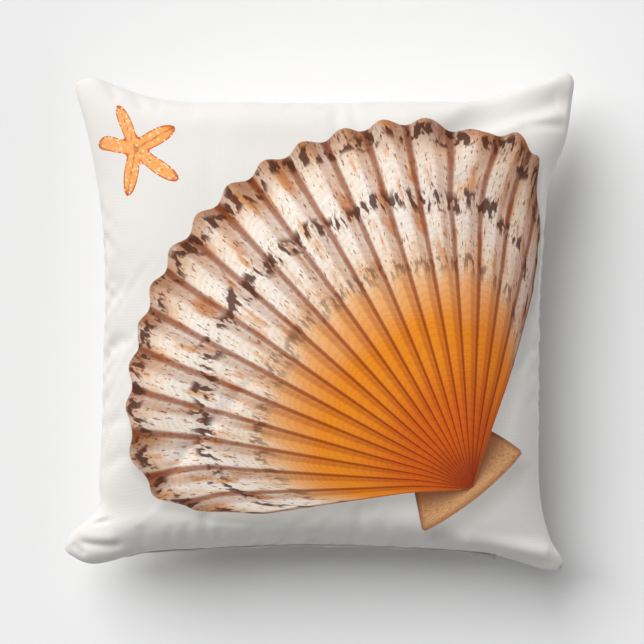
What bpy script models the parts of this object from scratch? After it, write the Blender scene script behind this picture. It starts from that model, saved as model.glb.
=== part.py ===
"""A square throw pillow: a knife-edge cover of two fabric panels, zipped round a filled insert.

Units are metres, +Z is up, and the pillow lies on its back panel with its printed panel up.
The bottom side of the print faces -Y. The origin is the middle of the bounding box, on the surface.
"""

import math

import bmesh
import bpy
from mathutils import Matrix, Vector

MM = 0.001

# The cover
CUT = 406 * MM                 # each panel between its seams, laid flat
HALF_CUT = CUT / 2
HALF_WIDTH = 172 * MM          # middle of the filled pillow to the middle of a side
FABRIC = 1.2 * MM
SEAM_GAP = 0.4 * MM            # between the two panels' rims
SEAM_HEIGHT = 60 * MM
EAR_DROOP = 5 * MM
FRONT_DOME = 68 * MM           # seam to the crown of the printed panel
BACK_DOME = 64 * MM            # seam to where the back would reach if nothing pressed it flat
SECTION_POWER = 0.5            # an ellipse across the middle of the pillow
EAR_FULLNESS = 0.05            # how much that power falls off in the four ears
INSET_POWER = 6                # the wall's thickness is taken sideways only near the seam

# The seam seen from above, ear tip to ear tip, in millimetres
TOP_LEFT = (-193, 192)
TOP_RIGHT = (201, 195)
BOTTOM_RIGHT = (192, -196)
BOTTOM_LEFT = (-198, -186)
TOP_SIDE = [TOP_LEFT, (-178, 194), (-164, 188), (-134, 178), (-87, 172), (-15, 171), (64, 173),
            (127, 175), (167, 188), (195, 198), TOP_RIGHT]
RIGHT_SIDE = [BOTTOM_RIGHT, (193, -187), (184, -174), (175, -137), (173, -62), (175, 25), (179, 89),
              (185, 116), (196, 144), (201, 176), (203, 188), TOP_RIGHT]
BOTTOM_SIDE = [BOTTOM_LEFT, (-183, -193), (-166, -191), (-138, -183), (-95, -180), (-15, -177),
               (64, -179), (127, -183), (155, -190), (183, -199), BOTTOM_RIGHT]
LEFT_SIDE = [BOTTOM_LEFT, (-203, -179), (-194, -165), (-175, -148), (-175, -125), (-173, -94),
             (-172, -30), (-170, 17), (-172, 77), (-178, 120), (-186, 156), (-194, 184), TOP_LEFT]

# Soft folds in the printed panel, as fractions of its half width: two ends, half width and depth
FOLDS = [
    ((0.20, 0.90), (0.97, 0.93), 10 * MM, 3.0 * MM),
    ((0.75, 0.78), (0.98, 0.84), 9 * MM, 2.5 * MM),
    ((-0.97, -0.78), (-0.72, -0.93), 9 * MM, 2.5 * MM),
]
FOLD_ENDS = 0.15               # how far past its ends a fold fades out

# The insert
INSERT_SCALE = 0.945
INSERT_ROUNDING = 0.12         # its filling stays out of the ears
INSERT_GAP = 0.5 * MM

# The concealed zip in the bottom seam
ZIP_LINES = 7                  # the zip spans this many mesh lines each side of the middle: 305 mm
TAPE_ROWS = 2                  # mesh rows that each tape covers, about 12 mm
TAPE = 0.5 * MM
ZIP_GAP = 0.4 * MM
COIL_RADIUS = 0.9 * MM
COIL_INSET = 3.8 * MM
SLIDER_SHARE = 0.62            # how far along the zip's last mesh cell the slider sits
SLIDER_BODY = (8.0 * MM, 3.4 * MM, 6.0 * MM)
SLIDER_INSET = 2.9 * MM
LUG_THICKNESS = 1.6 * MM
LUG_RADIUS = 1.75 * MM
LUG_HOLE = 1.05 * MM
PIVOT_OUT = 0.95 * MM          # the pull's axis, out from the panels' rims
NECK_WIDTH = 2.0 * MM
NOTCH = (4.4 * MM, 2.3 * MM)   # the seam parts this far round the lug
PULL_LENGTH = 18 * MM
PULL_HEIGHT = 4.4 * MM
PULL_THICKNESS = 1.0 * MM
PULL_WINDOW = (2.6 * MM, 2.2 * MM)
PULL_REST_ANGLE = math.radians(8)

# Mesh fineness
CELLS = 24                     # mesh cells along a panel's side
EDGE_CROWDING = 0.8            # how strongly the cells crowd towards the seam

COLOURS = {
    "printed_fabric": (0.90, 0.88, 0.86, 1),
    "plain_fabric": (0.88, 0.87, 0.85, 1),
    "insert_casing": (0.92, 0.92, 0.91, 1),
    "zip_tape": (0.86, 0.86, 0.85, 1),
    "zip_nylon": (0.84, 0.84, 0.82, 1),
    "painted_zinc": (0.83, 0.82, 0.79, 1),
}
ROUGHNESS = {"zip_nylon": 0.4, "painted_zinc": 0.35}


def smooth_curve(points, samples=16):
    """A Catmull-Rom curve through the points, as a list of (distance, x, y) in metres."""
    knots = [Vector(point) * MM for point in points]
    knots = [2 * knots[0] - knots[1]] + knots + [2 * knots[-1] - knots[-2]]
    places = []
    for before, start, end, after in zip(knots, knots[1:], knots[2:], knots[3:]):
        for step in range(samples):
            t = step / samples
            places.append(0.5 * ((2 * start) + (end - before) * t
                                 + (2 * before - 5 * start + 4 * end - after) * t * t
                                 + (3 * start - before - 3 * end + after) * t ** 3))
    places.append(knots[-2])
    distance = 0.0
    curve = [(0.0, *places[0])]
    for last, place in zip(places, places[1:]):
        distance += (place - last).length
        curve.append((distance, *place))
    return curve


def along(curve, fraction):
    """The point at a fraction from -1 to 1 of a curve's length."""
    target = (fraction + 1) / 2 * curve[-1][0]
    for last, place in zip(curve, curve[1:]):
        if target <= place[0]:
            share = (target - last[0]) / (place[0] - last[0])
            return Vector(last[1:]).lerp(Vector(place[1:]), share)
    return Vector(curve[-1][1:])


def across(u, v):
    """A place in the flat fabric as a fraction of the filled width: fabric goes up the dome's sides."""
    spare = max((HALF_CUT / HALF_WIDTH - 1) * math.sqrt(max(1 - v * v, 0)), 0.001)
    stretch = 1 + spare
    return math.copysign(stretch * abs(u) - spare * abs(u) ** (stretch / spare), u)


SIDES = {name: smooth_curve(points) for name, points in
         (("top", TOP_SIDE), ("right", RIGHT_SIDE), ("bottom", BOTTOM_SIDE), ("left", LEFT_SIDE))}


def crowd(t):
    """Spaces the mesh lines closer together near the seam, where the cover turns sharply."""
    return (1 - EDGE_CROWDING) * t + EDGE_CROWDING * math.sin(math.pi / 2 * t)


def box_middle():
    """The middle of the seam's bounding box, which becomes the origin."""
    rims = [along(curve, across(crowd(2 * line / CELLS - 1), 1))
            for curve in SIDES.values() for line in range(CELLS + 1)]
    xs = [place.x for place in rims]
    ys = [place.y for place in rims]
    return Vector(((min(xs) + max(xs)) / 2, (min(ys) + max(ys)) / 2))


MIDDLE = box_middle()


def plan(a, b):
    """Where the place (a, b), each from -1 to 1, lies from above: a patch between the four sides."""
    low, high = along(SIDES["bottom"], a), along(SIDES["top"], a)
    left, right = along(SIDES["left"], b), along(SIDES["right"], b)
    corners = (Vector(BOTTOM_LEFT) * (1 - a) * (1 - b) + Vector(BOTTOM_RIGHT) * (1 + a) * (1 - b)
               + Vector(TOP_LEFT) * (1 - a) * (1 + b) + Vector(TOP_RIGHT) * (1 + a) * (1 + b)) * MM / 4
    blend = (low * (1 - b) + high * (1 + b) + left * (1 - a) + right * (1 + a)) / 2
    return blend - corners - MIDDLE


def bulge(a, b):
    """The dome's height over the seam, from 0 at the seam to 1 at the crown."""
    power = SECTION_POWER - EAR_FULLNESS * a * a * b * b
    return max((1 - a * a) * (1 - b * b), 0) ** power


def seam_height(a, b):
    return SEAM_HEIGHT - EAR_DROOP * (a * b) ** 4


def fold_depth(a, b):
    """How far the soft folds sink the printed panel at (a, b)."""
    depth = 0.0
    for start, end, half_width, deepest in FOLDS:
        run = Vector(end) - Vector(start)
        offset = Vector((a, b)) - Vector(start)
        share = offset.dot(run) / run.length_squared
        sideways = abs(offset.cross(run)) / run.length * HALF_WIDTH
        fade = min(max(min(share, 1 - share) / FOLD_ENDS + 1, 0), 1)
        depth += deepest * fade * math.exp(-(sideways / half_width) ** 2)
    return depth * min(bulge(a, b) * 3, 1)


def cover_point(u, v, inset, side):
    """A point in the cover's wall, inset from its outside; side is 1 for the front, -1 for the back."""
    a, b = across(u, v), across(v, u)
    pull_in = inset / HALF_WIDTH
    place = plan(a * (1 - pull_in * abs(a) ** INSET_POWER), b * (1 - pull_in * abs(b) ** INSET_POWER))
    dome = FRONT_DOME if side > 0 else BACK_DOME
    rise = (dome - inset) * bulge(a, b)
    if side > 0:
        rise -= fold_depth(a, b)
    height = seam_height(a, b) + side * max(rise, SEAM_GAP / 2)
    return Vector((place.x, place.y, max(height, inset)))


def insert_point(u, v, side):
    """A point on the insert: the same form, smaller, with rounded corners."""
    a, b = across(u, v), across(v, u)
    inner_a = a * math.sqrt(1 - INSERT_ROUNDING * b * b) * INSERT_SCALE
    inner_b = b * math.sqrt(1 - INSERT_ROUNDING * a * a) * INSERT_SCALE
    place = plan(inner_a, inner_b)
    dome = (FRONT_DOME if side > 0 else BACK_DOME) - FABRIC - INSERT_GAP
    rise = dome * bulge(a, b)
    if side > 0:
        rise = max(rise - fold_depth(inner_a, inner_b), 0)
    height = seam_height(inner_a, inner_b) + side * rise
    return Vector((place.x, place.y, max(height, FABRIC + INSERT_GAP)))


def add_sheet(mesh, columns, rows, shape, facing):
    """Adds a grid of cells, puts each vertex where shape(x, y) says, and turns it to face up or down."""
    made = bmesh.ops.create_grid(mesh, x_segments=columns, y_segments=rows, size=1)
    faces = {face for vert in made["verts"] for face in vert.link_faces}
    for vert in made["verts"]:
        vert.co = shape(vert.co.x, vert.co.y)
    if facing < 0:
        bmesh.ops.reverse_faces(mesh, faces=list(faces))


def close_and_finish(mesh, name, material, bridge=True):
    """Joins the open borders of two sheets into a closed wall and makes it a smooth object."""
    if bridge:
        borders = [edge for edge in mesh.edges if edge.is_boundary]
        bmesh.ops.bridge_loops(mesh, edges=borders)
    else:
        bmesh.ops.remove_doubles(mesh, verts=mesh.verts, dist=0.05 * MM)
    bmesh.ops.recalc_face_normals(mesh, faces=mesh.faces)
    data = bpy.data.meshes.new(name)
    mesh.to_mesh(data)
    mesh.free()
    data.shade_smooth()
    data.set_sharp_from_angle(angle=math.radians(40))
    return add_object(name, data, material)


def add_object(name, data, material):
    thing = bpy.data.objects.new(name, data)
    parts.objects.link(thing)
    data.materials.append(materials[material])
    return thing


def make_materials():
    made = {}
    for name, colour in COLOURS.items():
        material = bpy.data.materials.new(name)
        material.use_nodes = True
        shader = material.node_tree.nodes["Principled BSDF"]
        shader.inputs["Base Color"].default_value = colour
        shader.inputs["Roughness"].default_value = ROUGHNESS.get(name, 0.9)
        shader.inputs["Metallic"].default_value = 0.0
        made[name] = material
    return made


def make_panel(name, material, side):
    """One panel of the cover: an outer and an inner sheet joined along the seam."""
    mesh = bmesh.new()
    for inset, facing in ((0, side), (FABRIC, -side)):
        add_sheet(mesh, CELLS, CELLS,
                  lambda x, y: cover_point(crowd(x), crowd(y), inset, side), facing)
    return close_and_finish(mesh, name, material)


def make_insert():
    mesh = bmesh.new()
    for side in (1, -1):
        add_sheet(mesh, CELLS, CELLS, lambda x, y: insert_point(crowd(x), crowd(y), side), side)
    return close_and_finish(mesh, "pillow_insert", "insert_casing", bridge=False)


def zip_line(x):
    """The fabric coordinate of a place x from -1 to 1 along the zip."""
    return crowd(x * 2 * ZIP_LINES / CELLS)


def make_tape(name, side):
    """A zip tape: a thin strip against the inside of a panel, from the seam inwards."""
    mesh = bmesh.new()
    outer = FABRIC + ZIP_GAP
    for inset, facing in ((outer, side), (outer + TAPE, -side)):
        add_sheet(mesh, 2 * ZIP_LINES, TAPE_ROWS,
                  lambda x, y: cover_point(zip_line(x), crowd(-1 + (y + 1) * TAPE_ROWS / CELLS),
                                           inset, side), facing)
    return close_and_finish(mesh, name, "zip_tape")


def make_coil(name, side):
    """A nylon coil along the inner side of its tape, as a plain tube that stops at the slider."""
    lines = [zip_line(index / ZIP_LINES) for index in range(-ZIP_LINES, ZIP_LINES + 1)]
    places = [cover_point(u, -1, COIL_INSET, side) for u in lines]
    last_cell = (places[-1] - places[-2]).length
    places[-1] = places[-2].lerp(places[-1], SLIDER_SHARE - (SLIDER_BODY[0] / 2 + ZIP_GAP) / last_cell)
    path = bpy.data.curves.new(name, "CURVE")
    path.dimensions = "3D"
    path.bevel_depth = COIL_RADIUS
    path.bevel_resolution = 2
    path.use_fill_caps = True
    run = path.splines.new("POLY")
    run.points.add(len(places) - 1)
    for point, place in zip(run.points, places):
        point.co = (place.x, place.y, place.z + side * COIL_RADIUS, 1)
    return add_object(name, path, "zip_nylon")


def bar(size, centre):
    """A box as a mesh, for the slider and for the notch."""
    mesh = bmesh.new()
    bmesh.ops.create_cube(mesh, size=1, matrix=Matrix.Translation(centre) @ Matrix.Diagonal((*size, 1)))
    return mesh


def drum(radius, height, centre, segments=20):
    mesh = bmesh.new()
    bmesh.ops.create_cone(mesh, cap_ends=True, segments=segments, radius1=radius, radius2=radius,
                          depth=height, matrix=Matrix.Translation(centre))
    return mesh


def add_cutter(name, mesh):
    """A guide body that joins or cuts another; it isn't part of the pillow."""
    data = bpy.data.meshes.new(name)
    mesh.to_mesh(data)
    mesh.free()
    thing = bpy.data.objects.new(name, data)
    cutters.objects.link(thing)
    thing.hide_render = True
    thing.display_type = "WIRE"
    return thing


def combine(thing, cutter, operation):
    step = thing.modifiers.new(cutter.name, "BOOLEAN")
    step.operation = operation
    step.object = cutter
    step.solver = "EXACT"


def make_zip_end():
    """An empty on the seam at the slider: X along the seam, Y into the pillow, Z up."""
    behind = cover_point(zip_line((ZIP_LINES - 1) / ZIP_LINES), -1, 0, 1)
    ahead = cover_point(zip_line(1), -1, 0, 1)
    here = behind.lerp(ahead, SLIDER_SHARE)
    heading = math.atan2(ahead.y - behind.y, ahead.x - behind.x)
    frame = bpy.data.objects.new("zip_end", None)
    parts.objects.link(frame)
    frame.location = (here.x, here.y, here.z - SEAM_GAP / 2)
    frame.rotation_euler = (0, 0, heading)
    return frame


def make_slider(frame):
    """The slider's body inside the seam, its neck through the seam and its ring-shaped lug."""
    body_y = SLIDER_INSET + SLIDER_BODY[1] / 2
    body = bar(SLIDER_BODY, (0, body_y, 0))
    bmesh.ops.bevel(body, geom=body.edges[:], offset=0.6 * MM, segments=2, profile=0.5,
                    affect="EDGES")
    data = bpy.data.meshes.new("zip_slider")
    body.to_mesh(data)
    body.free()
    slider = add_object("zip_slider", data, "painted_zinc")
    neck_start = -PIVOT_OUT + (LUG_HOLE + LUG_RADIUS) / 2
    neck_end = SLIDER_INSET + SLIDER_BODY[1] / 2
    neck = bar((NECK_WIDTH, neck_end - neck_start, LUG_THICKNESS),
               (0, (neck_start + neck_end) / 2, 0))
    combine(slider, add_cutter("slider_neck", neck), "UNION")
    pivot = (0, -PIVOT_OUT, 0)
    combine(slider, add_cutter("slider_lug", drum(LUG_RADIUS, LUG_THICKNESS * 0.98, pivot)), "UNION")
    combine(slider, add_cutter("slider_lug_hole", drum(LUG_HOLE, SLIDER_BODY[2], pivot)), "DIFFERENCE")
    for name in ("zip_slider", "slider_neck", "slider_lug", "slider_lug_hole"):
        bpy.data.objects[name].parent = frame


def make_pull(frame):
    """The pull: a flat plate on edge, with a window at its pivot end that holds the lug."""
    crossbar = PULL_THICKNESS
    plate = bar((PULL_LENGTH, PULL_THICKNESS, PULL_HEIGHT), (crossbar / 2 - PULL_LENGTH / 2, 0, 0))
    upright = [edge for edge in plate.edges
               if abs((edge.verts[0].co - edge.verts[1].co).normalized().y) > 0.9]
    far_end = [edge for edge in upright if edge.verts[0].co.x < -PULL_LENGTH / 2]
    bmesh.ops.bevel(plate, geom=far_end, offset=1.9 * MM, segments=5, profile=0.5, affect="EDGES")
    data = bpy.data.meshes.new("zip_pull")
    plate.to_mesh(data)
    plate.free()
    pull = add_object("zip_pull", data, "painted_zinc")
    window = bar((PULL_WINDOW[0], 4 * PULL_THICKNESS, PULL_WINDOW[1]),
                 (-crossbar / 2 - PULL_WINDOW[0] / 2, 0, 0))
    window = add_cutter("pull_window", window)
    combine(pull, window, "DIFFERENCE")
    window.parent = pull
    pull.parent = frame
    pull.location = (0, -PIVOT_OUT, 0)
    pull.rotation_euler = (0, 0, PULL_REST_ANGLE)


def cut_notch(frame, pieces):
    """Parts the seam and the tapes just enough to let the slider's lug through."""
    depth = FABRIC + ZIP_GAP + TAPE + 1.0 * MM
    notch = bar((NOTCH[0], 2 * depth, NOTCH[1]), (0, 0, 0))
    cutter = add_cutter("seam_notch", notch)
    cutter.parent = frame
    for piece in pieces:
        combine(piece, cutter, "DIFFERENCE")


for leftover in list(bpy.data.objects):
    bpy.data.objects.remove(leftover, do_unlink=True)

parts = bpy.data.collections.new("throw_pillow")
cutters = bpy.data.collections.new("cutters")
bpy.context.scene.collection.children.link(parts)
bpy.context.scene.collection.children.link(cutters)
materials = make_materials()

front_panel = make_panel("front_panel", "printed_fabric", 1)
back_panel = make_panel("back_panel", "plain_fabric", -1)
make_insert()
tape_front = make_tape("zip_tape_front", 1)
tape_back = make_tape("zip_tape_back", -1)
make_coil("zip_coil_front", 1)
make_coil("zip_coil_back", -1)
zip_end = make_zip_end()
make_slider(zip_end)
make_pull(zip_end)
cut_notch(zip_end, (front_panel, back_panel, tape_front, tape_back))
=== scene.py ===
"""The looks of a square throw pillow: a printed, zipped cover round a filled insert, lying flat.

Metres, +Z up. The bottom side of the print faces -Y, and the pillow lies on the surface at Z = 0.
"""

import math

import bpy
import numpy as np
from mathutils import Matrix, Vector, noise


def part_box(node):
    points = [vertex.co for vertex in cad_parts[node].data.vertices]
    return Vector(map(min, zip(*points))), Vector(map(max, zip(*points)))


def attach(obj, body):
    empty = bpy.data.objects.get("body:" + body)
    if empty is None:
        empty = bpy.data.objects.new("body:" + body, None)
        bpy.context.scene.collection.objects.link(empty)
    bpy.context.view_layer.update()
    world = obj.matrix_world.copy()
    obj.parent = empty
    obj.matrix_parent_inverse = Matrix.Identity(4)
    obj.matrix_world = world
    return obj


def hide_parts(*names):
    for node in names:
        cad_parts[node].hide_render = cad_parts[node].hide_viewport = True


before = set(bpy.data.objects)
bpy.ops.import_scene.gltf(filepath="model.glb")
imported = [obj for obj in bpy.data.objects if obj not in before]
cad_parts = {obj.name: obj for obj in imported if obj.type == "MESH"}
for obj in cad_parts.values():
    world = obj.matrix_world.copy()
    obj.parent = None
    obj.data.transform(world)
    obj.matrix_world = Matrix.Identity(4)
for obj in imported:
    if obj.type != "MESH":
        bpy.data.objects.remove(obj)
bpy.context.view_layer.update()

MM = 0.001


# The cover's seam
# Two squares of woven polyester, 406 mm between their seams, are sewn face to face and turned right side out.
# Filled, the sides pull in between four ears, and no two ears are alike. Seen from above, in millimetres.
HALF_CUT = 203 * MM
SEAM_HEIGHT = 60 * MM
EAR_DROOP = 5 * MM
TOP_LEFT = (-193, 192)
TOP_RIGHT = (201, 195)
BOTTOM_RIGHT = (192, -196)
BOTTOM_LEFT = (-198, -186)
TOP_SIDE = [TOP_LEFT, (-178, 194), (-164, 188), (-134, 178), (-87, 172), (-15, 171), (64, 173),
            (127, 175), (167, 188), (195, 198), TOP_RIGHT]
RIGHT_SIDE = [BOTTOM_RIGHT, (193, -187), (184, -174), (175, -137), (173, -62), (175, 25), (179, 89),
              (185, 116), (196, 144), (201, 176), (203, 188), TOP_RIGHT]
BOTTOM_SIDE = [BOTTOM_LEFT, (-183, -193), (-166, -191), (-138, -183), (-95, -180), (-15, -177),
               (64, -179), (127, -183), (155, -190), (183, -199), BOTTOM_RIGHT]
LEFT_SIDE = [BOTTOM_LEFT, (-203, -179), (-194, -165), (-175, -148), (-175, -125), (-173, -94),
             (-172, -30), (-170, 17), (-172, 77), (-178, 120), (-186, 156), (-194, 184), TOP_LEFT]


def smooth_curve(points, samples=24):
    """A Catmull-Rom curve through the points: how far along each place is, from -1 to 1, and the places."""
    knots = np.array(points, dtype=float) * MM
    knots = np.vstack([2 * knots[0] - knots[1], knots, 2 * knots[-1] - knots[-2]])
    t = np.linspace(0, 1, samples, endpoint=False)[:, None]
    runs = [0.5 * (2 * start + (end - before) * t + (2 * before - 5 * start + 4 * end - after) * t ** 2
                   + (3 * start - before - 3 * end + after) * t ** 3)
            for before, start, end, after in zip(knots, knots[1:], knots[2:], knots[3:])]
    places = np.vstack(runs + [knots[-2:-1]])
    reach = np.concatenate([[0], np.cumsum(np.linalg.norm(np.diff(places, axis=0), axis=1))])
    return reach / reach[-1] * 2 - 1, places


SIDES = {name: smooth_curve(points) for name, points in
         (("top", TOP_SIDE), ("right", RIGHT_SIDE), ("bottom", BOTTOM_SIDE), ("left", LEFT_SIDE))}
EVERY_PLACE = np.vstack([places for reach, places in SIDES.values()])
MIDDLE = (EVERY_PLACE.min(0) + EVERY_PLACE.max(0)) / 2


def seam_point(side, fraction):
    """Where a fraction from -1 to 1 of a side's seam lies, in metres."""
    reach, places = SIDES[side]
    plan = [np.interp(fraction, reach, places[:, axis]) - MIDDLE[axis] for axis in (0, 1)]
    return np.stack(plan + [SEAM_HEIGHT - EAR_DROOP * np.asarray(fraction, dtype=float) ** 4], -1)


# The cover, cut flat, sewn and filled
# The cloth starts as its flat cut, so it gathers where there is real fabric to spare. The seam is drawn in to
# its place while the filling swells to its litres, and the cloth settles round it.
WEAVE_CELLS = 60
SEWING_FRAMES = 12
SETTLING_FRAMES = 40
FILLING_LITRES = 10.44
FIRST_PUFF = 0.8
PARTING_RUN = 0.03              # of the half cut, over which the two flat layers part next to the seam
PARTING_SLOPE = 0.25

fabric_lines = np.linspace(-1, 1, WEAVE_CELLS + 1)
FABRIC_U, FABRIC_V = np.meshgrid(fabric_lines, fabric_lines)
on_seam = (abs(FABRIC_U) == 1) | (abs(FABRIC_V) == 1)
points_a_side = (WEAVE_CELLS + 1) ** 2
front_index = np.arange(points_a_side).reshape(FABRIC_U.shape)
back_index = front_index.copy()
back_index[~on_seam] = points_a_side + np.arange((~on_seam).sum())

from_edge = 1 - np.maximum(abs(FABRIC_U), abs(FABRIC_V))
cut_rise = np.minimum(from_edge, PARTING_RUN) * HALF_CUT * PARTING_SLOPE
cut_front = np.stack([FABRIC_U * HALF_CUT, FABRIC_V * HALF_CUT, SEAM_HEIGHT + cut_rise], -1)
cut_back = np.stack([FABRIC_U * HALF_CUT, FABRIC_V * HALF_CUT, SEAM_HEIGHT - cut_rise], -1)
flat_cut = np.vstack([cut_front.reshape(-1, 3), cut_back[~on_seam]])
sewn = flat_cut.copy()
for edge_of_cut, side, fractions in ((FABRIC_V == -1, "bottom", FABRIC_U), (FABRIC_V == 1, "top", FABRIC_U),
                                     (FABRIC_U == -1, "left", FABRIC_V), (FABRIC_U == 1, "right", FABRIC_V)):
    sewn[front_index[edge_of_cut]] = seam_point(side, fractions[edge_of_cut])


def grid_faces(index):
    """The four corners of each cell of a grid of vertex numbers, anticlockwise seen from above."""
    return np.stack([index[:-1, :-1], index[:-1, 1:], index[1:, 1:], index[1:, :-1]], -1).reshape(-1, 4)


cloth_faces = np.vstack([grid_faces(front_index), grid_faces(back_index)[:, ::-1]])
cloth_mesh = bpy.data.meshes.new("cover_cloth")
cloth_mesh.from_pydata(flat_cut.tolist(), [], cloth_faces.tolist())
cloth = bpy.data.objects.new("cover_cloth", cloth_mesh)
bpy.context.scene.collection.objects.link(cloth)
cloth.shape_key_add(name="flat")
drawn_in = cloth.shape_key_add(name="sewn")
drawn_in.data.foreach_set("co", sewn.ravel())
drawn_in.value = 0
drawn_in.keyframe_insert("value", frame=1)
drawn_in.value = 1
drawn_in.keyframe_insert("value", frame=SEWING_FRAMES)
seam_group = cloth.vertex_groups.new(name="seam")
seam_group.add([int(number) for number in front_index[on_seam]], 1.0, "REPLACE")

cloth_step = cloth.modifiers.new("fill", "CLOTH")
behaviour = cloth_step.settings
behaviour.quality = 5
behaviour.mass = 0.2
behaviour.tension_stiffness = 15
behaviour.compression_stiffness = 15
behaviour.shear_stiffness = 0.75
behaviour.bending_stiffness = 0.1
behaviour.tension_damping = 5
behaviour.compression_damping = 5
behaviour.shear_damping = 5
behaviour.bending_damping = 0.5
behaviour.air_damping = 2
behaviour.vertex_group_mass = "seam"
behaviour.pin_stiffness = 1
behaviour.use_pressure = True
behaviour.uniform_pressure_force = FIRST_PUFF
behaviour.use_pressure_volume = True
behaviour.target_volume = FILLING_LITRES * 0.001
behaviour.pressure_factor = 10
behaviour.effector_weights.gravity = 0
cloth_step.collision_settings.use_collision = False
cloth_step.point_cache.frame_start = 1
cloth_step.point_cache.frame_end = SETTLING_FRAMES
for moment in range(1, SETTLING_FRAMES + 1):
    bpy.context.scene.frame_set(moment)
settled = cloth.evaluated_get(bpy.context.evaluated_depsgraph_get()).data
places = np.empty(len(settled.vertices) * 3)
settled.vertices.foreach_get("co", places)
places = places.reshape(-1, 3)
bpy.data.objects.remove(cloth)
bpy.context.scene.frame_set(1)

# Its own weight presses the back panel flat on the surface that it lies on.
BACK_SHARE = 0.87
PRESS_SOFTNESS = 3 * MM

lower = places[:, 2] < SEAM_HEIGHT
places[lower, 2] = SEAM_HEIGHT + (places[lower, 2] - SEAM_HEIGHT) * BACK_SHARE
places[lower, 2] = (places[lower, 2] + np.sqrt(places[lower, 2] ** 2 + PRESS_SOFTNESS ** 2)) / 2

# Fibre behind the cloth keeps its folds soft away from the seam: part of each fold is eased out there.
EASING_ROUNDS = 14
FOLD_SHARE = 0.4                # of the simulated folds, what is left in the middle
EASED_FROM = 12 * MM
EASED_BY = 34 * MM


def ease(grid):
    """Softens the cloth's folds: not at all up to EASED_FROM inside the seam, and fully from EASED_BY."""
    soft = grid.copy()
    for _ in range(EASING_ROUNDS):
        beside = (soft[:-2, 1:-1] + soft[2:, 1:-1] + soft[1:-1, :-2] + soft[1:-1, 2:]) / 4
        soft[1:-1, 1:-1] += (beside - soft[1:-1, 1:-1]) / 2
    step = np.clip((from_edge * HALF_CUT - EASED_FROM) / (EASED_BY - EASED_FROM), 0, 1)
    kept = 1 - (1 - FOLD_SHARE) * step * step * (3 - 2 * step)
    return soft + (grid - soft) * kept[..., None]


# The ears are stuffed a little: there the cloth mostly follows a smooth dome between its seams.
HALF_WIDTH = 172 * MM
DOME_RISE = {1: 68 * MM, -1: 64 * MM}
DOME_POWER = 0.5
EAR_FULLNESS = 0.05
LEAST_SPARE = 0.001
EAR_FROM = 0.28
EAR_BY = 0.64
EAR_SHARE = 0.92


def across(u, v):
    """A place in the flat fabric as a fraction of the filled width: the spare goes up the dome's sides."""
    spare = np.maximum((HALF_CUT / HALF_WIDTH - 1) * np.sqrt(1 - v * v), LEAST_SPARE)
    stretch = 1 + spare
    return np.sign(u) * (stretch * abs(u) - spare * abs(u) ** (stretch / spare))


def plump_ears(grid, side):
    """The cloth, blended towards a patch between the four seams with a dome on it, in the ears alone."""
    x, y = across(FABRIC_U, FABRIC_V), across(FABRIC_V, FABRIC_U)
    right, up = x[..., None], y[..., None]
    patch = (seam_point("bottom", x) * (1 - up) + seam_point("top", x) * (1 + up)
             + seam_point("left", y) * (1 - right) + seam_point("right", y) * (1 + right)) / 2
    for row, where in ((-1, "bottom"), (1, "top")):
        for end in (-1, 1):
            patch -= seam_point(where, end) * (1 + end * right) * (1 + row * up) / 4
    dome = np.maximum((1 - x * x) * (1 - y * y), 0) ** (DOME_POWER - EAR_FULLNESS * x * x * y * y)
    patch[..., 2] += side * DOME_RISE[side] * dome
    step = np.clip((abs(x * y) - EAR_FROM) / (EAR_BY - EAR_FROM), 0, 1)
    share = (EAR_SHARE * step * step * (3 - 2 * step))[..., None]
    return grid * (1 - share) + patch * share


cloth_grid = {1: plump_ears(ease(places[front_index]), 1), -1: plump_ears(ease(places[back_index]), -1)}


def line_weights(fabric):
    """Catmull-Rom weights on the cloth's lines, and one more past each seam, for fabric places -1 to 1."""
    position = (np.asarray(fabric, dtype=float) + 1) / 2 * WEAVE_CELLS
    start = np.clip(np.floor(position).astype(int), 0, WEAVE_CELLS - 1)
    t = position - start
    weights = np.zeros((len(position), WEAVE_CELLS + 3))
    rows = np.arange(len(position))
    for offset, weight in enumerate((-t ** 3 + 2 * t ** 2 - t, 3 * t ** 3 - 5 * t ** 2 + 2,
                                     -3 * t ** 3 + 4 * t ** 2 + t, t ** 3 - t ** 2)):
        weights[rows, start + offset] = weight / 2
    return weights


def cloth_at(side, u, v):
    """The settled cloth where the fabric lines u and v cross; side is 1 for the front, -1 for the back."""
    grid = cloth_grid[side]
    grid = np.concatenate([2 * grid[:1] - grid[1:2], grid, 2 * grid[-1:] - grid[-2:-1]], 0)
    grid = np.concatenate([2 * grid[:, :1] - grid[:, 1:2], grid, 2 * grid[:, -1:] - grid[:, -2:-1]], 1)
    return np.einsum("iv,ju,vuk->ijk", line_weights(v), line_weights(u), grid)


# The front panel's form
# The printed square that faces up: plain-woven polyester of about 200 g a square metre, 0.6 mm thick. Its
# spare cloth gathers in soft folds at the ears and in short puckers along the seam.
PANEL_LINES = 201
EDGE_CROWDING = 0.7
CLOTH_THICKNESS = 0.6 * MM
SEAM_GROOVE = 0.7 * MM
GROOVE_WIDTH = 1.3 * MM
SEAM_SQUARENESS = 40              # how sharply the groove turns each corner
FLAT_SEAM = 4 * MM                # folds stay this far clear of the stitches
UPRIGHT_FOLDS = 22 * MM           # up to here from the seam, folds rise and sink without leaning out
FOLD_END_SHARE = 0.6              # squared, what is left of a fold's depth at its two ends
FOLD_TAPER = 4                    # how fast its depth grows inwards from there
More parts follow.
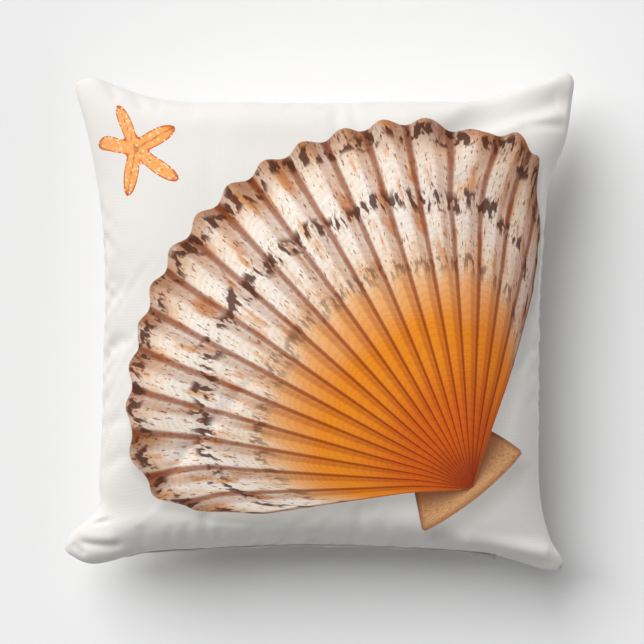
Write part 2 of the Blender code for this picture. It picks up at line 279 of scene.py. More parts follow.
# Folds that handling has left, and swells, whose depth is negative. Each has two ends in millimetres from the
# middle, a half width, a depth and a sideways bow.
FRONT_FOLDS = [
    ((-150, 161), (125, 158), 15, -3.5, 0),
    ((-145, -162), (140, -164), 13, -3.6, -5),
    ((90, 139), (200, 175), 11, 6.0, -5),
    ((100, 162), (196, 193), 7, -2.6, -5),
    ((120, 140), (196, 165), 4.5, -2.0, -3),
    ((158, 156), (196, 154), 4, 1.6, 0),
    ((-168, 192), (-159, 175), 4, 1.4, 0),
    ((-147, 184), (-138, 166), 4, 1.1, 0),
    ((-131, 180), (-125, 166), 4, 0.9, 0),
    ((-103, 175), (-98, 158), 5, 0.8, 0),
    ((14, 170), (18, 134), 5, 1.2, 2),
    ((24, 170), (30, 140), 4, 0.9, -2),
    ((-80, 160), (-84, 70), 9, 0.6, 3),
    ((-172, -156), (-171, -160), 6, 2.6, 0),
    ((-190, -174), (-156, -176), 3.5, 2.4, 2),
    ((-188, -168), (-160, -169), 4, -1.0, 1),
    ((-196, -176), (-186, -184), 3, 1.2, 0),
    ((-88, -148), (-88, -180), 4.5, 1.8, 1),
    ((-79, -160), (-79, -180), 3.5, 1.4, -1),
    ((-103, -156), (-104, -180), 4, 1.2, 1),
    ((-116, -158), (-118, -182), 4, 1.0, 0),
    ((-138, -160), (-141, -182), 4, 0.8, -1),
    ((-52, -158), (-52, -178), 4, 0.7, 1),
    ((108, -168), (187, -183), 7, -4.2, 1),
    ((-170, 21), (-152, 26), 4, 1.0, 1),
    ((-171, -22), (-150, -16), 5, 1.2, -1),
    ((-172, -82), (-146, -72), 5, 1.3, 1),
    ((-174, -118), (-150, -104), 5, 1.2, -1),
]
LUMP_SIZE = 55 * MM
LUMP_HEIGHT = 0.5 * MM
ZIP_SPAN = 152.5 / 203          # the zip's half length as a share of the half cut
LIP_ROLL = 2.0 * MM
LIP_PARTING = 0.04 * MM
LIP_STANDS_OUT = 2.1 * MM
LIP_WAVE = 6 * MM
LIP_WAVE_SHARE = 0.35
LIP_WAVE_RATIO = 0.37
LIP_END_SHARPNESS = 120
LUG_PARTING = 1.0 * MM
LUG_PARTING_WIDTH = 3.2 * MM

steps = np.linspace(-1, 1, PANEL_LINES)
panel_lines = (1 - EDGE_CROWDING) * steps + EDGE_CROWDING * np.sin(math.pi / 2 * steps)
PANEL_U, PANEL_V = np.meshgrid(panel_lines, panel_lines)
PANEL_TO_SEAM = (1 - np.maximum(abs(PANEL_U), abs(PANEL_V))) * HALF_CUT


def grid_normals(grid, side):
    """The outward normal at each point of a panel's grid."""
    across_u = np.gradient(grid, axis=1)
    across_v = np.gradient(grid, axis=0)
    normals = np.cross(across_u, across_v) * side
    return normals / np.linalg.norm(normals, axis=-1, keepdims=True)


def add_folds(grid, side, folds):
    """Presses each fold in along the normal, or upright near the seam, and fades it out at both ends."""
    depth = np.zeros(grid.shape[:2])
    for start, end, half_width, deepest, bow in folds:
        run = (np.array(end) - start) * MM
        offset = grid[..., :2] - np.array(start) * MM
        share = offset @ run / (run @ run)
        sideways = (offset[..., 0] * run[1] - offset[..., 1] * run[0]) / np.linalg.norm(run)
        sideways -= bow * MM * 4 * share * (1 - share)
        fade = np.clip(np.minimum(share, 1 - share) * FOLD_TAPER + FOLD_END_SHARE, 0, 1) ** 2
        depth += deepest * MM * fade * np.exp(-(sideways / (half_width * MM)) ** 2)
    depth *= 1 - np.exp(-(PANEL_TO_SEAM / FLAT_SEAM) ** 2)
    outward = grid_normals(grid, side)
    outward[..., :2] *= (1 - np.exp(-(PANEL_TO_SEAM / UPRIGHT_FOLDS) ** 2))[..., None]
    return grid - outward * depth[..., None]


def add_lumps(grid, side):
    """The loose fibre inside shows as faint, broad lumps."""
    lumps = np.array([noise.noise(Vector(place / LUMP_SIZE)) for place in grid.reshape(-1, 3)])
    away_from_seam = (1 - PANEL_U ** 4) * (1 - PANEL_V ** 4)
    rise = lumps.reshape(grid.shape[:2]) * LUMP_HEIGHT * away_from_seam
    return grid + grid_normals(grid, side) * rise[..., None]


def add_groove(grid):
    """The seam sits in a fine groove between the two panels' turned edges."""
    outward = np.stack([np.sign(PANEL_U) * abs(PANEL_U) ** SEAM_SQUARENESS,
                        np.sign(PANEL_V) * abs(PANEL_V) ** SEAM_SQUARENESS, 0 * PANEL_U], -1)
    sink = SEAM_GROOVE * np.exp(-(PANEL_TO_SEAM / GROOVE_WIDTH) ** 2)
    return grid - outward * sink[..., None]


def cloth_panel(name, grid, side, fields=()):
    """A panel's fine mesh, with fabric coordinates as its UV map, the print's fields, and its thickness."""
    index = np.arange(PANEL_LINES ** 2).reshape(PANEL_LINES, PANEL_LINES)
    faces = grid_faces(index)
    if side < 0:
        faces = faces[:, ::-1]
    mesh = bpy.data.meshes.new(name)
    mesh.from_pydata(grid.reshape(-1, 3).tolist(), [], faces.tolist())
    fabric = np.stack([PANEL_U, PANEL_V], -1).reshape(-1, 2) / 2 + 0.5
    mesh.uv_layers.new(name="fabric").data.foreach_set("uv", fabric[faces.ravel()].ravel())
    for field_name, values in fields:
        mesh.attributes.new(field_name, "FLOAT", "POINT").data.foreach_set("value", values.ravel())
    mesh.shade_smooth()
    panel = bpy.data.objects.new(name, mesh)
    bpy.context.scene.collection.objects.link(panel)
    wall = panel.modifiers.new("thickness", "SOLIDIFY")
    wall.thickness = CLOTH_THICKNESS
    wall.offset = -1
    wall.use_even_offset = True
    return apply_modifiers(panel)


def apply_modifiers(thing):
    """Puts the result of a piece's modifiers in its mesh."""
    finished = bpy.data.meshes.new_from_object(thing.evaluated_get(bpy.context.evaluated_depsgraph_get()))
    thing.modifiers.clear()
    old = thing.data
    thing.data = finished
    bpy.data.meshes.remove(old)
    finished.name = thing.name
    return thing


def open_zip_lips(grid, side):
    """Along the zip the two rims only meet: the back one stands out a little, and both part round the lug."""
    along_zip = 1 / (1 + np.exp((abs(PANEL_U) - ZIP_SPAN) * LIP_END_SHARPNESS))
    from_seam = (1 + PANEL_V) * HALF_CUT
    lip = along_zip * np.exp(-(from_seam / LIP_ROLL) ** 2)
    lug = (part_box("zip_slider")[0].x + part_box("zip_slider")[1].x) / 2
    round_lug = np.exp(-((grid[..., 0] - lug) / LUG_PARTING_WIDTH) ** 4)
    grid = grid.copy()
    grid[..., 2] += side * lip * (LIP_PARTING + LUG_PARTING * round_lug)
    if side < 0:
        phase = grid[..., 0] / LIP_WAVE
        wave = 1 + LIP_WAVE_SHARE * np.sin(phase) * np.sin(phase * LIP_WAVE_RATIO + 1)
        grid[..., 1] -= lip * LIP_STANDS_OUT * wave * (1 - round_lug)
    else:
        grid[..., 1] -= lip * SEAM_GROOVE * (1 - round_lug)
    return grid


front_grid = cloth_at(1, panel_lines, panel_lines)
front_grid = add_groove(add_lumps(add_folds(front_grid, 1, FRONT_FOLDS), 1))
front_grid = open_zip_lips(front_grid, 1)


# The front panel's print
# A seaside design, dyed into the cloth by heat, so it has no edge or gloss of its own: a big scallop fan in
# glowing orange and cream, and a small starfish, on the cloth's white. Sizes are millimetres on flat cloth.
# Besides its colours, the print carries painted shade and highlights on the fan's ribs and wings, and a
# painted shadow cast beside the fan.
PANEL_MM = 406
FAN_HINGE = (120, -126)
FAN_AXIS = math.radians(130)
FAN_SPREAD = math.radians(60)
FAN_REACH = 300
FAN_RIBS = 19
FAN_RIPPLE = 3.4
RIM_FALL = 0.14                 # the share of its reach that the fan loses from its middle to its last rib
RIM_CORNER = 0.3                # the share that its corners lose besides
RIM_CORNER_END = 1.2
WING_REACH = 50
WING_DEPTH = 30
WING_TAPER = 0.5
WING_START = 7
CAST_OFFSET = (6, -9)
CAST_SOFTNESS = 16
STARFISH = (-143, 134)
STARFISH_REACH = 38
STARFISH_HEART = 11
STARFISH_TURN = math.radians(17)
STARFISH_ARMS = 5
ARM_POINTEDNESS = 1.7

PRINT_X, PRINT_Y = PANEL_U * PANEL_MM / 2, PANEL_V * PANEL_MM / 2


def seen_from(centre, turned):
    """x, y, distance, and angle from the turned Y axis, of the panel's points seen from a motif's centre."""
    x = (PRINT_X - centre[0]) * math.cos(turned) + (PRINT_Y - centre[1]) * math.sin(turned)
    y = (PRINT_Y - centre[1]) * math.cos(turned) - (PRINT_X - centre[0]) * math.sin(turned)
    return x, y, np.hypot(x, y), np.arctan2(x, y)


def fan_fields(hinge):
    """How far each point is towards the rim, round the ribs, across the spread and inside both outlines."""
    x, y, reach, angle = seen_from(hinge, FAN_AXIS - math.pi / 2)
    spread = abs(angle) / FAN_SPREAD
    turn = angle / FAN_SPREAD * math.pi * FAN_RIBS
    corner = RIM_CORNER * np.minimum(spread, RIM_CORNER_END) ** 8
    rim = FAN_REACH * (1 - RIM_FALL * spread ** 2 - corner) + FAN_RIPPLE * np.cos(turn)
    inside_fan = np.minimum(rim - reach, (1 - spread) * FAN_SPREAD * reach)
    inside_wing = np.minimum(WING_REACH - WING_TAPER * y - abs(x), y + WING_START)
    inside_wing = np.minimum(inside_wing, WING_DEPTH - y)
    return reach / rim, turn, spread, inside_fan, inside_wing


fan_share, fan_turn, fan_spread, inside_fan, inside_wing = fan_fields(FAN_HINGE)
cast_fan, cast_wing = fan_fields([a + b for a, b in zip(FAN_HINGE, CAST_OFFSET)])[3:]
cast_shadow = np.maximum(cast_fan, cast_wing) / CAST_SOFTNESS + 0.5
reach, angle = seen_from(STARFISH, STARFISH_TURN)[2:]
arm = (np.cos(angle * STARFISH_ARMS) / 2 + 0.5) ** ARM_POINTEDNESS
inside_star = STARFISH_HEART + arm * (STARFISH_REACH - STARFISH_HEART) - reach
star_spine = abs(np.sin(angle * (STARFISH_ARMS / 2))) * reach

PRINT_FIELDS = (("fan_share", fan_share), ("fan_turn", fan_turn), ("fan_spread", fan_spread),
                ("inside_fan", inside_fan), ("inside_wing", inside_wing), ("cast_shadow", cast_shadow),
                ("inside_star", inside_star), ("star_spine", star_spine))
front = cloth_panel("cover_front", front_grid, 1, PRINT_FIELDS)

CLOTH_WHITE = "#E1DEDA"
THREAD_MM = 2.4                # real threads are 0.35 mm apart, too fine to show, so the weave is coarser
THREAD_DEPTH = 0.22 * MM
SLUBS_PER_MM = (0.12, 1.1, 1)  # a slub, a thick stretch of weft, is about 8 mm long and 0.9 mm thick
SLUB_SHARE = 3.0
# The sockets of a Mix node that mixes colours: its factor, the two colours and the result
FACTOR, UNDER, OVER, MIXED = 0, 6, 7, 2


def linear(hex_colour):
    """An sRGB hex colour as linear RGBA."""
    parts = [int(hex_colour[place:place + 2], 16) / 255 for place in (1, 3, 5)]
    return [part / 12.92 if part <= 0.04045 else ((part + 0.055) / 1.055) ** 2.4 for part in parts] + [1]


def add_node(tree, kind, inputs=(), output=0, **settings):
    """Adds a node, sets it, feeds its inputs with values or other nodes' outputs, and returns an output."""
    made = tree.nodes.new(kind)
    for name, value in settings.items():
        setattr(made, name, value)
    for name, value in (inputs.items() if isinstance(inputs, dict) else enumerate(inputs)):
        if isinstance(value, bpy.types.NodeSocket):
            tree.links.new(value, made.inputs[name])
        else:
            made.inputs[name].default_value = value
    return made.outputs[output]


def new_material(name):
    """A material with nothing in it but its shader, with its node tree and the shader."""
    material = bpy.data.materials.new(name)
    material.use_nodes = True
    return material, material.node_tree, material.node_tree.nodes["Principled BSDF"]


def woven_cloth(name):
    """A plain weave's bump, from crossed waves on the fabric's coordinates, with slubs and a soft sheen."""
    material, tree, shader = new_material(name)
    fabric = add_node(tree, "ShaderNodeUVMap", output="UV", uv_map="fabric")
    place = add_node(tree, "ShaderNodeVectorMath", (fabric, (PANEL_MM,) * 3, (-PANEL_MM / 2,) * 3),
                     operation="MULTIPLY_ADD")
    phase = add_node(tree, "ShaderNodeVectorMath", {0: place, "Scale": 2 * math.pi / THREAD_MM},
                     operation="SCALE")
    waves = add_node(tree, "ShaderNodeVectorMath", (phase,), operation="SINE")
    warp = add_node(tree, "ShaderNodeSeparateXYZ", (waves,), output="X")
    weft = add_node(tree, "ShaderNodeSeparateXYZ", (waves,), output="Y")
    threads = add_node(tree, "ShaderNodeMath", (warp, weft), operation="ADD")
    slub_place = add_node(tree, "ShaderNodeVectorMath", (place, SLUBS_PER_MM), operation="MULTIPLY")
    slubs = add_node(tree, "ShaderNodeTexNoise", {"Vector": slub_place, "Scale": 1.0, "Detail": 3.0})
    height = add_node(tree, "ShaderNodeMath", (slubs, SLUB_SHARE, threads), operation="MULTIPLY_ADD")
    bump = add_node(tree, "ShaderNodeBump", {"Height": height, "Strength": 0.1, "Distance": THREAD_DEPTH})
    tree.links.new(bump, shader.inputs["Normal"])
    shader.inputs["Roughness"].default_value = 0.88
    shader.inputs["Sheen Weight"].default_value = 0.2
    shader.inputs["Sheen Roughness"].default_value = 0.5
    shader.inputs["Specular IOR Level"].default_value = 0.2
    return material, tree, shader, place


printed, tree, shader, place = woven_cloth("sublimation_printed_polyester")
pattern = {name: add_node(tree, "ShaderNodeAttribute", output="Fac", attribute_name=name)
           for name, _ in PRINT_FIELDS}

# Growth runs along the ribs, a little uneven, and its specks and blotches are drawn out along it
WAVER_MM = 33.33
WAVER_SHARE = 0.1
KNOB_MM = 2.778                # from one pale knob on the starfish to the next

waver = add_node(tree, "ShaderNodeTexNoise", {"Vector": place, "Scale": 1 / WAVER_MM, "Detail": 4.0})
grown = add_node(tree, "ShaderNodeMath", (waver, WAVER_SHARE, pattern["fan_share"]), operation="MULTIPLY_ADD")
rib_place = add_node(tree, "ShaderNodeCombineXYZ", (pattern["fan_share"], pattern["fan_turn"]))
for name, stretch, detail in (("blotches", (9, 0.45, 0), 5.0), ("dashes", (22, 0.8, 0), 2.0),
                              ("specks", (45, 2.2, 0), 3.0)):
    stretched = add_node(tree, "ShaderNodeVectorMath", (rib_place, stretch), operation="MULTIPLY")
    pattern[name] = add_node(tree, "ShaderNodeTexNoise",
                             {"Vector": stretched, "Scale": 1.0, "Detail": detail})
# The rib waves also carry the painted shade in the grooves and on one flank of each rib, and the painted
# highlight on the other.
for name, source, rate, wave in (("rows", grown, 34.0, "COSINE"), ("striae", grown, 330.0, "SINE"),
                                 ("rib_groove_shade", pattern["fan_turn"], 1.0, "COSINE"),
                                 ("rib_shade_and_highlight", pattern["fan_turn"], 1.0, "SINE")):
    phase = add_node(tree, "ShaderNodeMath", (source, rate), operation="MULTIPLY")
    pattern[name] = add_node(tree, "ShaderNodeMath", (phase,), operation=wave)
pattern["grown"] = grown
pattern["knobs"] = add_node(tree, "ShaderNodeTexVoronoi", {"Vector": place, "Scale": 1 / KNOB_MM},
                            output="Distance")

# Where each motif, and each part of the fan, takes dye
motif = {"cloth": 1.0}
for name, field, low, high, within in (("fan", "inside_fan", -0.4, 0.4, "cloth"),
                                       ("wing", "inside_wing", -0.4, 0.4, "cloth"),
                                       ("star", "inside_star", -0.4, 0.4, "cloth"),
                                       ("ribs", "fan_share", 0.05, 0.3, "fan"),
                                       ("rim", "fan_share", 0.5, 0.68, "fan"),
                                       ("row", "rows", -0.3, -0.9, "rim")):
    edge = add_node(tree, "ShaderNodeMapRange", (pattern[field], low, high, 0.0, 1.0),
                    interpolation_type="SMOOTHSTEP")
    motif[name] = add_node(tree, "ShaderNodeMath", (edge, motif[within]), operation="MULTIPLY")

# Each dye, in the order it goes on: its pattern, the values where that starts and is full, how much it covers
# there, its colour, how it mixes with what is under it, and the motif that it stays in
DYES = (
    ("cast_shadow", 0.0, 1.0, 0.36, "#8F8880", "MIX", "cloth"),
    ("inside_wing", -0.4, 0.4, 1.0, "#E9B27C", "MIX", "wing"),
    ("specks", 0.5, 0.62, 0.8, "#A85F2E", "MIX", "wing"),
    # Painted shade darkens the wings next to the fan and towards their edges.
    ("fan_spread", 1.6, 1.0, 0.85, "#7C4426", "MULTIPLY", "wing"),
    ("inside_wing", 5.0, 0.0, 0.6, "#A86C40", "MULTIPLY", "wing"),
    ("inside_fan", -0.4, 0.4, 1.0, "#F9EDE0", "MIX", "fan"),
    ("grown", 0.88, 1.06, 0.85, "#DCA878", "MIX", "fan"),
    ("grown", 0.78, 0.58, 0.9, "#F8BE7C", "MIX", "fan"),
    ("grown", 0.68, 0.46, 1.0, "#FA951F", "MIX", "fan"),
    ("grown", 0.46, 0.18, 1.0, "#E2640B", "MIX", "fan"),
    ("grown", 0.22, 0.04, 1.0, "#A83A0B", "MIX", "fan"),
    ("blotches", 0.5, 0.66, 0.8, "#DB9145", "MIX", "rim"),
    ("blotches", 0.46, 0.34, 0.6, "#FDF7F0", "MIX", "rim"),
    # Painted shade darkens the grooves between the fan's ribs.
    ("rib_groove_shade", -0.65, -1.0, 0.85, "#A0603A", "MULTIPLY", "fan"),
    # Painted shade on one flank of every rib, and a painted highlight on the other flank near the rim.
    ("rib_shade_and_highlight", 0.2, 1.0, 0.5, "#BD8F70", "MULTIPLY", "ribs"),
    ("rib_shade_and_highlight", -0.3, -1.0, 0.4, "#FFF3E2", "MIX", "rim"),
    ("dashes", 0.48, 0.56, 0.92, "#552A1A", "MIX", "row"),
    ("specks", 0.58, 0.67, 0.8, "#8A4824", "MIX", "rim"),
    ("striae", -0.4, 1.0, 0.12, "#B48A6A", "MULTIPLY", "fan"),
    ("fan_share", 0.9, 1.0, 0.45, "#8A5533", "MULTIPLY", "fan"),
    # Painted shade: the fan grows darker towards one side.
    ("fan_turn", 20.0, 60.0, 0.5, "#B07A55", "MULTIPLY", "fan"),
    ("inside_star", -0.4, 0.4, 1.0, "#C4581C", "MIX", "star"),
    ("inside_star", 0.0, 6.0, 1.0, "#F2A65E", "MIX", "star"),
    ("knobs", 0.42, 0.18, 0.8, "#F9E0BE", "MIX", "star"),
    ("star_spine", 2.6, 0.8, 0.6, "#A8440F", "MIX", "star"),
)
ink = linear(CLOTH_WHITE)
for name, low, high, most, colour, way, within in DYES:
    cover = add_node(tree, "ShaderNodeMapRange", (pattern[name], low, high, 0.0, most),
                     interpolation_type="SMOOTHSTEP")
    cover = add_node(tree, "ShaderNodeMath", (cover, motif[within]), operation="MULTIPLY")
    ink = add_node(tree, "ShaderNodeMix", {FACTOR: cover, UNDER: ink, OVER: linear(colour)}, MIXED,
                   data_type="RGBA", blend_type=way)
tree.links.new(ink, shader.inputs["Base Color"])
front.data.materials.append(printed)
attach(front, "pillow")
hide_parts("front_panel")


# The back panel
# The same woven polyester, unprinted, cut to the same square and sewn to the front on all four sides. Its
# middle lies pressed flat, and a shallow fold runs into each ear.
YARN_CLOUD_MM = 50
LEAST_HEIGHT = 0.05 * MM
BACK_FOLDS = [
    ((-190, -170), (-140, -130), 9, 2.4, 2),
    ((150, 150), (190, 185), 9, 2.6, -2),
    ((-165, 150), (-185, 180), 8, 1.8, 0),
    ((150, -150), (186, -186), 8, 2.0, 2),
]
back_grid = cloth_at(-1, panel_lines, panel_lines)
back_grid = add_groove(add_lumps(add_folds(back_grid, -1, BACK_FOLDS), -1))
back_grid[..., 2] = np.maximum(back_grid[..., 2], LEAST_HEIGHT)
back_grid = open_zip_lips(back_grid, -1)
back = cloth_panel("cover_back", back_grid, -1)
plain, tree, shader, place = woven_cloth("plain_woven_polyester")
yarn = add_node(tree, "ShaderNodeTexNoise", {"Vector": place, "Scale": 1 / YARN_CLOUD_MM, "Detail": 2.0})
clouded = add_node(tree, "ShaderNodeMix",
                   {FACTOR: yarn, UNDER: linear(CLOTH_WHITE), OVER: linear("#DCD9D3")}, MIXED,
                   data_type="RGBA")
tree.links.new(clouded, shader.inputs["Base Color"])
back.data.materials.append(plain)
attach(back, "pillow")
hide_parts("back_panel")


# The zip's tapes
# Two woven polyester tapes, 12 mm wide and 0.5 mm thick, stitched to the panels' turned edges inside the
# bottom seam. The weave leaves fine ribs across them, and a matt face.
TAPE_WIDTH = 12 * MM
TAPE_START = 0.9 * MM
TAPE_THICKNESS = 0.5 * MM
TAPE_CLEARANCE = 0.3 * MM
TAPE_RIB = 1.25 * MM
RIB_DEPTH = 0.15 * MM

tape_cloth, tree, shader = new_material("woven_zip_tape")
fabric = add_node(tree, "ShaderNodeTexCoord", output="Object")
# A Wave Texture of scale 1 has a band every 2 pi / 20 of a unit.
ribs_of_tape = add_node(tree, "ShaderNodeTexWave", {"Vector": fabric, "Scale": math.pi / 10 / TAPE_RIB},
                        output="Fac", bands_direction="X")
bump = add_node(tree, "ShaderNodeBump", {"Height": ribs_of_tape, "Strength": 0.4, "Distance": RIB_DEPTH})
tree.links.new(bump, shader.inputs["Normal"])
ribbed = add_node(tree, "ShaderNodeMix",
                  {FACTOR: ribs_of_tape, UNDER: linear("#E4E3E0"), OVER: linear("#EFEEEB")}, MIXED,
                  data_type="RGBA")
tree.links.new(ribbed, shader.inputs["Base Color"])
shader.inputs["Roughness"].default_value = 0.8

from_bottom_seam = (1 + panel_lines) * HALF_CUT
tape_rows = (from_bottom_seam >= TAPE_START) & (from_bottom_seam <= TAPE_WIDTH + TAPE_START)
tape_columns = abs(panel_lines) <= ZIP_SPAN
for name, grid, side in (("front", front_grid, 1), ("back", back_grid, -1)):
    behind = grid - grid_normals(grid, side) * (CLOTH_THICKNESS + TAPE_CLEARANCE)
    strip = behind[tape_rows][:, tape_columns]
    index = np.arange(strip.shape[0] * strip.shape[1]).reshape(strip.shape[:2])
    faces = grid_faces(index) if side > 0 else grid_faces(index)[:, ::-1]
    mesh = bpy.data.meshes.new("zip_tape_" + name + "_cloth")
    mesh.from_pydata(strip.reshape(-1, 3).tolist(), [], faces.tolist())
    mesh.shade_smooth()
    tape = bpy.data.objects.new(mesh.name, mesh)
    bpy.context.scene.collection.objects.link(tape)
    wall = tape.modifiers.new("thickness", "SOLIDIFY")
    wall.thickness = TAPE_THICKNESS
    wall.offset = -1
    apply_modifiers(tape)
    tape.data.materials.append(tape_cloth)
    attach(tape, "pillow")
    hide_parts("zip_tape_" + name)


# The zip's coils
# A No. 3 nylon coil on each tape: 0.55 mm monofilament wound 1.3 mm a turn, with a low, waxy shine. The turns
# of one sit between those of the other, and both stop at the slider.
COIL_PITCH = 1.3 * MM
COIL_RADIUS = 0.85 * MM
COIL_WIRE = 0.27 * MM
COIL_INSET = 3.8 * MM
COIL_LIFT = 0.75 * MM
SLIDER_CLEARANCE = 0.5 * MM
PATH_POINTS = 160
NYLON_CLOUD = 3.3 * MM

nylon, tree, shader = new_material("nylon_monofilament")
drawn = add_node(tree, "ShaderNodeTexCoord", output="Object")
cloudy = add_node(tree, "ShaderNodeTexNoise", {"Vector": drawn, "Scale": 1 / NYLON_CLOUD})
milky = add_node(tree, "ShaderNodeMix", {FACTOR: cloudy, UNDER: linear("#DDDCD8"), OVER: linear("#EDECE8")},
                 MIXED, data_type="RGBA")
tree.links.new(milky, shader.inputs["Base Color"])
shader.inputs["Roughness"].default_value = 0.38

coil_tree = bpy.data.node_groups.new("coil_turns", "GeometryNodeTree")
coil_tree.interface.new_socket("Path", in_out="INPUT", socket_type="NodeSocketGeometry")
coil_sizes = {}
for name in ("Pitch", "Turn radius", "Wire radius"):
    size_socket = coil_tree.interface.new_socket(name, in_out="INPUT", socket_type="NodeSocketFloat")
    coil_sizes[name] = size_socket.identifier
coil_tree.interface.new_socket("Turns", in_out="OUTPUT", socket_type="NodeSocketGeometry")
entry = coil_tree.nodes.new("NodeGroupInput")
round_tape = add_node(coil_tree, "GeometryNodeCurvePrimitiveCircle",
                      {"Resolution": 8, "Radius": entry.outputs["Turn radius"]})
round_wire = add_node(coil_tree, "GeometryNodeCurvePrimitiveCircle",
                      {"Resolution": 4, "Radius": entry.outputs["Wire radius"]})
turn = add_node(coil_tree, "GeometryNodeCurveToMesh", (round_tape, round_wire))
turn_places = add_node(coil_tree, "GeometryNodeResampleCurve",
                       {"Curve": entry.outputs["Path"], "Length": entry.outputs["Pitch"]}, mode="LENGTH")
onward = add_node(coil_tree, "GeometryNodeInputTangent")
facing = add_node(coil_tree, "FunctionNodeAlignRotationToVector", {"Vector": onward}, axis="Z")
turns = add_node(coil_tree, "GeometryNodeInstanceOnPoints",
                 {"Points": turn_places, "Instance": turn, "Rotation": facing})
real_turns = add_node(coil_tree, "GeometryNodeRealizeInstances", {"Geometry": turns})
nylon_turns = add_node(coil_tree, "GeometryNodeSetMaterial", {"Geometry": real_turns, "Material": nylon})
coil_tree.links.new(nylon_turns, coil_tree.nodes.new("NodeGroupOutput").inputs["Turns"])

slider_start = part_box("zip_slider")[0].x - SLIDER_CLEARANCE
seam_places = seam_point("bottom", np.linspace(-ZIP_SPAN, ZIP_SPAN, PATH_POINTS))
heading = np.gradient(seam_places, axis=0)
heading /= np.linalg.norm(heading, axis=-1, keepdims=True)
inward = np.stack([-heading[:, 1], heading[:, 0], 0 * heading[:, 0]], -1)
for name, side in (("front", 1), ("back", -1)):
    stagger = heading * COIL_PITCH / 4 * side
    run_places = seam_places + inward * COIL_INSET + stagger + np.array([0, 0, side * COIL_LIFT])
    run_places = run_places[run_places[:, 0] < slider_start]
    path = bpy.data.curves.new("zip_coil_" + name + "_turns", "CURVE")
    path.dimensions = "3D"
    run = path.splines.new("POLY")
    run.points.add(len(run_places) - 1)
    run.points.foreach_set("co", np.hstack([run_places, np.ones((len(run_places), 1))]).ravel())
    guide = bpy.data.objects.new(path.name + "_path", path)
    bpy.context.scene.collection.objects.link(guide)
    winding = guide.modifiers.new("turns", "NODES")
    winding.node_group = coil_tree
    for size_name, size in (("Pitch", COIL_PITCH), ("Turn radius", COIL_RADIUS), ("Wire radius", COIL_WIRE)):
        winding[coil_sizes[size_name]] = size
    wound = bpy.data.meshes.new_from_object(guide.evaluated_get(bpy.context.evaluated_depsgraph_get()))
    wound.name = path.name
    wound.shade_smooth()
    coil = bpy.data.objects.new(path.name, wound)
    bpy.context.scene.collection.objects.link(coil)
    bpy.data.objects.remove(guide)
    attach(coil, "pillow")
    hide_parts("zip_coil_" + name)


# The slider and its pull
# Die-cast zinc, enamelled a plain grey. The slider hides inside the seam with its lug out, and the flat pull
# swivels on the lug. The enamel is smooth and glossy, rubbed a little darker in places.
PEEL_GRAIN = 1.11 * MM
PEEL_DEPTH = 0.05 * MM
RUBBED_PATCH = 3.85 * MM

enamel, tree, shader = new_material("enamelled_die_cast_zinc")
metal_place = add_node(tree, "ShaderNodeTexCoord", output="Object")
orange_peel = add_node(tree, "ShaderNodeTexNoise",
                       {"Vector": metal_place, "Scale": 1 / PEEL_GRAIN, "Detail": 1.0})
bump = add_node(tree, "ShaderNodeBump", {"Height": orange_peel, "Strength": 0.15, "Distance": PEEL_DEPTH})
tree.links.new(bump, shader.inputs["Normal"])
worn = add_node(tree, "ShaderNodeTexNoise", {"Vector": metal_place, "Scale": 1 / RUBBED_PATCH, "Detail": 3.0})
rubbed = add_node(tree, "ShaderNodeMapRange", (worn, 0.6, 0.75, 0.0, 0.35), interpolation_type="SMOOTHSTEP")
grey = add_node(tree, "ShaderNodeMix", {FACTOR: rubbed, UNDER: linear("#BBB9B6"), OVER: linear("#8F8C87")},
                MIXED, data_type="RGBA")
tree.links.new(grey, shader.inputs["Base Color"])
shader.inputs["Roughness"].default_value = 0.3
shader.inputs["Coat Weight"].default_value = 0.3
for node in ("zip_slider", "zip_pull"):
    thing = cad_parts[node]
    thing.data.materials.clear()
    thing.data.materials.append(enamel)


# The insert
# A casing of white non-woven polypropylene, blown full of polyester fibre and sewn shut. It sits a few
# millimetres clear of the cover, with its rounded corners out of the ears. Bonding leaves fine dots on it.
INSERT_SIDE_SHARE = 0.945
INSERT_HEIGHT_SHARE = 0.965
INSERT_ROUNDING = 0.06
INSERT_LINES = 61
BOND_DOT = 1.11 * MM
BOND_DEPTH = 0.2 * MM

insert_lines = np.linspace(-1, 1, INSERT_LINES)
INSERT_U, INSERT_V = np.meshgrid(insert_lines, insert_lines)
corner_pull = 1 - INSERT_ROUNDING * (INSERT_U * INSERT_V) ** 2
insert_grids = []
for side in (1, -1):
    grid = cloth_at(side, insert_lines, insert_lines)
    grid[..., :2] *= (INSERT_SIDE_SHARE * corner_pull)[..., None]
    grid[..., 2] = SEAM_HEIGHT + (grid[..., 2] - SEAM_HEIGHT) * INSERT_HEIGHT_SHARE
    insert_grids.append(grid)
insert_edge = (abs(INSERT_U) == 1) | (abs(INSERT_V) == 1)
front_numbers = np.arange(INSERT_LINES ** 2).reshape(INSERT_U.shape)
back_numbers = front_numbers.copy()
back_numbers[~insert_edge] = INSERT_LINES ** 2 + np.arange((~insert_edge).sum())
insert_places = np.vstack([insert_grids[0].reshape(-1, 3), insert_grids[1][~insert_edge]])
insert_faces = np.vstack([grid_faces(front_numbers), grid_faces(back_numbers)[:, ::-1]])
insert_mesh = bpy.data.meshes.new("pillow_inner")
insert_mesh.from_pydata(insert_places.tolist(), [], insert_faces.tolist())
insert_mesh.shade_smooth()
insert = bpy.data.objects.new("pillow_inner", insert_mesh)
bpy.context.scene.collection.objects.link(insert)
casing, tree, shader = new_material("nonwoven_polypropylene")
felt = add_node(tree, "ShaderNodeTexCoord", output="Object")
dots = add_node(tree, "ShaderNodeTexVoronoi", {"Vector": felt, "Scale": 1 / BOND_DOT})
bump = add_node(tree, "ShaderNodeBump", {"Height": dots, "Strength": 0.3, "Distance": BOND_DEPTH})
tree.links.new(bump, shader.inputs["Normal"])
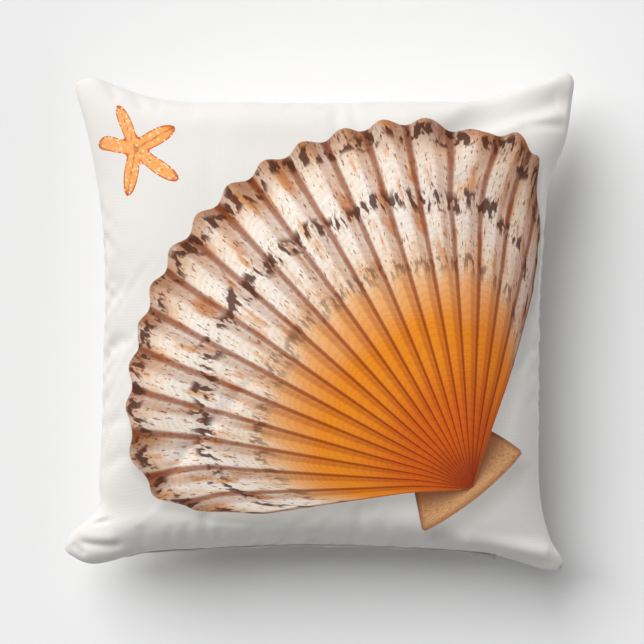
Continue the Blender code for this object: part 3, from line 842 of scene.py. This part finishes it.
bonded = add_node(tree, "ShaderNodeMix", {FACTOR: dots, UNDER: linear("#F2F2F0"), OVER: linear("#FAFAF8")},
                  MIXED, data_type="RGBA")
tree.links.new(bonded, shader.inputs["Base Color"])
shader.inputs["Roughness"].default_value = 0.8
insert.data.materials.append(casing)
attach(insert, "pillow")
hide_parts("pillow_insert")


# The studio
# A plain, matt, pale floor, broad soft light from the upper left, a little of it thrown back by a pale wall
# on the right, and a long lens straight above the pillow.
FLOOR_HALF = 12.0
MM_PER_PIXEL = 0.793
FRAME_PIXELS = 644
PILLOW_PIXEL = (319.25, 321.75)   # the middle of the pillow in the photograph
CAMERA_HEIGHT = 2.6
SENSOR_MM = 36
ROOM_LIGHT = 0.13
ROOM_SEEN = 0.84                  # past the floor's end the room looks as pale as the floor

floor_mesh = bpy.data.meshes.new("floor")
floor_mesh.from_pydata([(x, y, 0) for x, y in ((-FLOOR_HALF, -FLOOR_HALF), (FLOOR_HALF, -FLOOR_HALF),
                                               (FLOOR_HALF, FLOOR_HALF), (-FLOOR_HALF, FLOOR_HALF))],
                       [], [(0, 1, 2, 3)])
floor = bpy.data.objects.new("floor", floor_mesh)
bpy.context.scene.collection.objects.link(floor)
paper, tree, shader = new_material("pale_paper")
shader.inputs["Base Color"].default_value = linear("#F2F2F2")
shader.inputs["Roughness"].default_value = 1.0
shader.inputs["Specular IOR Level"].default_value = 0.0
floor.data.materials.append(paper)

view_width = FRAME_PIXELS * MM_PER_PIXEL * MM
camera_data = bpy.data.cameras.new("camera")
camera_data.sensor_width = SENSOR_MM
camera_data.lens = SENSOR_MM * (CAMERA_HEIGHT - SEAM_HEIGHT) / view_width
camera = bpy.data.objects.new("camera", camera_data)
bpy.context.scene.collection.objects.link(camera)
camera.location = ((FRAME_PIXELS / 2 - PILLOW_PIXEL[0]) * MM_PER_PIXEL * MM,
                   (PILLOW_PIXEL[1] - FRAME_PIXELS / 2) * MM_PER_PIXEL * MM, CAMERA_HEIGHT)
bpy.context.scene.camera = camera

for name, energy, spread, toward in (("window", 3.4, 52, (0.63, -0.74, -0.92)),
                                     ("pale_wall", 0.65, 70, (-0.9, 0.1, -0.35))):
    light_data = bpy.data.lights.new(name, "SUN")
    light_data.energy = energy
    light_data.angle = math.radians(spread)
    light = bpy.data.objects.new(name, light_data)
    bpy.context.scene.collection.objects.link(light)
    light.rotation_mode = "QUATERNION"
    light.rotation_quaternion = Vector(toward).to_track_quat("-Z", "Y")

world = bpy.data.worlds.new("room")
bpy.context.scene.world = world
world.use_nodes = True
background = world.node_tree.nodes["Background"]
background.inputs["Color"].default_value = (1, 1, 1, 1)
seen = add_node(world.node_tree, "ShaderNodeLightPath", output="Is Camera Ray")
strength = add_node(world.node_tree, "ShaderNodeMapRange", (seen, 0.0, 1.0, ROOM_LIGHT, ROOM_SEEN))
world.node_tree.links.new(strength, background.inputs["Strength"])
bpy.context.scene.view_settings.view_transform = "Standard"
